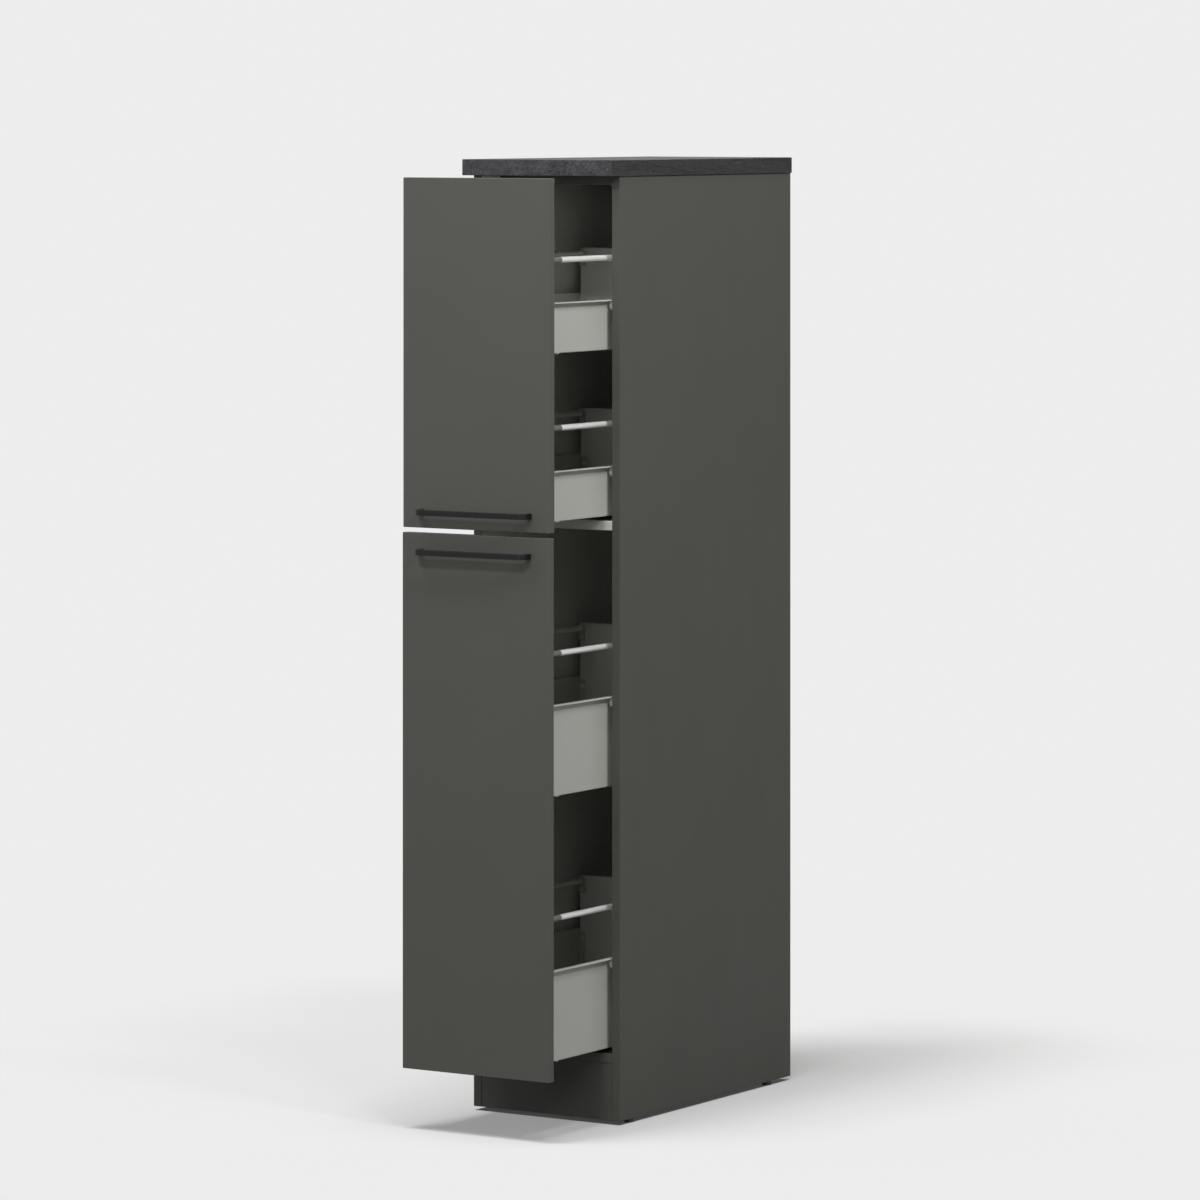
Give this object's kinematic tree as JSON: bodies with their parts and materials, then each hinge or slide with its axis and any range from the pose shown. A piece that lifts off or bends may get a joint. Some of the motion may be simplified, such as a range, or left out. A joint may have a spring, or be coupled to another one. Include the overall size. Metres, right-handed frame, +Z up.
{
  "type": "kitchen cabinet",
  "caption": "Tall narrow kitchen larder cabinet, drawn partly open: graphite carcass and handled fronts, steel-sided trays with gallery rails on roller runners.",
  "frame": {"origin": "on the floor, in the middle of the ground that the cabinet covers in the stored pose, with both pull-outs about half out", "axes": "+Z up, -Y towards the fronts and handles, +Y to the wall, +X to the right seen from the front"},
  "size_m": [0.306, 0.819, 1.65],
  "materials": {
    "graphite_board": "matt laminated board",
    "worktop_board": "dark anthracite wood-grain laminate",
    "shelf_board": "matt laminated board with a lighter grey edge",
    "hardboard": "matt",
    "tray_steel": "light grey powder coat",
    "runner_steel": "light grey powder coat",
    "rail_steel": "bright satin",
    "sleeve_plastic": "dark grey",
    "nylon": "white nylon",
    "handle_metal": "satin black-grey",
    "glide_plastic": "black",
    "zinc_steel": "zinc plated"
  },
  "bodies": {
    "carcass": {"side_panel_left": "graphite_board", "side_panel_right": "graphite_board", "bottom_panel": "graphite_board", "fixed_shelf": "shelf_board", "top_rail_front": "graphite_board", "top_rail_rear": "graphite_board", "back_panel": "hardboard", "plinth_board": "graphite_board", "worktop": "worktop_board", "worktop_brackets": "zinc_steel", "floor_glides": "glide_plastic", "cam_locks": "zinc_steel", "cam_bolts": "zinc_steel", "worktop_screws": "zinc_steel", "runner_screws": "zinc_steel", "tray1_runners": "runner_steel", "tray2_runners": "runner_steel", "tray3_runners": "runner_steel", "tray4_runners": "runner_steel"},
    "upper_pullout": {"upper_front": "graphite_board", "upper_handle": "handle_metal", "upper_handle_screws": "zinc_steel", "upper_screws": "zinc_steel", "tray1_side_left": "tray_steel", "tray1_side_right": "tray_steel", "tray1_bottom": "graphite_board", "tray1_back": "graphite_board", "tray1_rails": "rail_steel", "tray1_rail_fittings": "sleeve_plastic", "tray2_side_left": "tray_steel", "tray2_side_right": "tray_steel", "tray2_bottom": "graphite_board", "tray2_back": "graphite_board", "tray2_rails": "rail_steel", "tray2_rail_fittings": "sleeve_plastic"},
    "lower_pullout": {"lower_front": "graphite_board", "lower_handle": "handle_metal", "lower_handle_screws": "zinc_steel", "lower_screws": "zinc_steel", "tray3_side_left": "tray_steel", "tray3_side_right": "tray_steel", "tray3_bottom": "graphite_board", "tray3_back": "graphite_board", "tray3_rails": "rail_steel", "tray3_rail_fittings": "sleeve_plastic", "tray4_side_left": "tray_steel", "tray4_side_right": "tray_steel", "tray4_bottom": "graphite_board", "tray4_back": "graphite_board", "tray4_rails": "rail_steel", "tray4_rail_fittings": "sleeve_plastic"},
    "tray1_front_roller_pair": {"tray1_front_rollers": "nylon"},
    "tray1_rear_roller_pair": {"tray1_rear_rollers": "nylon"},
    "tray2_front_roller_pair": {"tray2_front_rollers": "nylon"},
    "tray2_rear_roller_pair": {"tray2_rear_rollers": "nylon"},
    "tray3_front_roller_pair": {"tray3_front_rollers": "nylon"},
    "tray3_rear_roller_pair": {"tray3_rear_rollers": "nylon"},
    "tray4_front_roller_pair": {"tray4_front_rollers": "nylon"},
    "tray4_rear_roller_pair": {"tray4_rear_rollers": "nylon"}
  },
  "joints": [
    {"name": "upper_pullout_slide", "type": "slide", "parent": "carcass", "child": "upper_pullout", "axis": [0, -1, 0], "range_m": [-0.201, 0.199]},
    {"name": "lower_pullout_slide", "type": "slide", "parent": "carcass", "child": "lower_pullout", "axis": [0, -1, 0], "range_m": [-0.203, 0.197]},
    {"name": "tray1_front_roller_spin", "type": "hinge", "parent": "carcass", "child": "tray1_front_roller_pair", "pos_m": [0, -0.146, 1.40038], "axis": [1, 0, 0], "continuous": true},
    {"name": "tray1_rear_roller_spin", "type": "hinge", "parent": "upper_pullout", "child": "tray1_rear_roller_pair", "pos_m": [0, 0.1205, 1.39718], "axis": [1, 0, 0], "continuous": true},
    {"name": "tray2_front_roller_spin", "type": "hinge", "parent": "carcass", "child": "tray2_front_roller_pair", "pos_m": [0, -0.146, 1.116], "axis": [1, 0, 0], "continuous": true},
    {"name": "tray2_rear_roller_spin", "type": "hinge", "parent": "upper_pullout", "child": "tray2_rear_roller_pair", "pos_m": [0, 0.1205, 1.1128], "axis": [1, 0, 0], "continuous": true},
    {"name": "tray3_front_roller_spin", "type": "hinge", "parent": "carcass", "child": "tray3_front_roller_pair", "pos_m": [0, -0.146, 0.7215], "axis": [1, 0, 0], "continuous": true},
    {"name": "tray3_rear_roller_spin", "type": "hinge", "parent": "lower_pullout", "child": "tray3_rear_roller_pair", "pos_m": [0, 0.1185, 0.7183], "axis": [1, 0, 0], "continuous": true},
    {"name": "tray4_front_roller_spin", "type": "hinge", "parent": "carcass", "child": "tray4_front_roller_pair", "pos_m": [0, -0.146, 0.274], "axis": [1, 0, 0], "continuous": true},
    {"name": "tray4_rear_roller_spin", "type": "hinge", "parent": "lower_pullout", "child": "tray4_rear_roller_pair", "pos_m": [0, 0.1185, 0.2708], "axis": [1, 0, 0], "continuous": true}
  ],
  "couplings": [
    {"joint": "tray1_front_roller_spin", "follows": "upper_pullout_slide", "rad_per_m": 117.65},
    {"joint": "tray1_rear_roller_spin", "follows": "upper_pullout_slide", "rad_per_m": 117.65},
    {"joint": "tray2_front_roller_spin", "follows": "upper_pullout_slide", "rad_per_m": 117.65},
    {"joint": "tray2_rear_roller_spin", "follows": "upper_pullout_slide", "rad_per_m": 117.65},
    {"joint": "tray3_front_roller_spin", "follows": "lower_pullout_slide", "rad_per_m": 117.65},
    {"joint": "tray3_rear_roller_spin", "follows": "lower_pullout_slide", "rad_per_m": 117.65},
    {"joint": "tray4_front_roller_spin", "follows": "lower_pullout_slide", "rad_per_m": 117.65},
    {"joint": "tray4_rear_roller_spin", "follows": "lower_pullout_slide", "rad_per_m": 117.65}
  ]
}
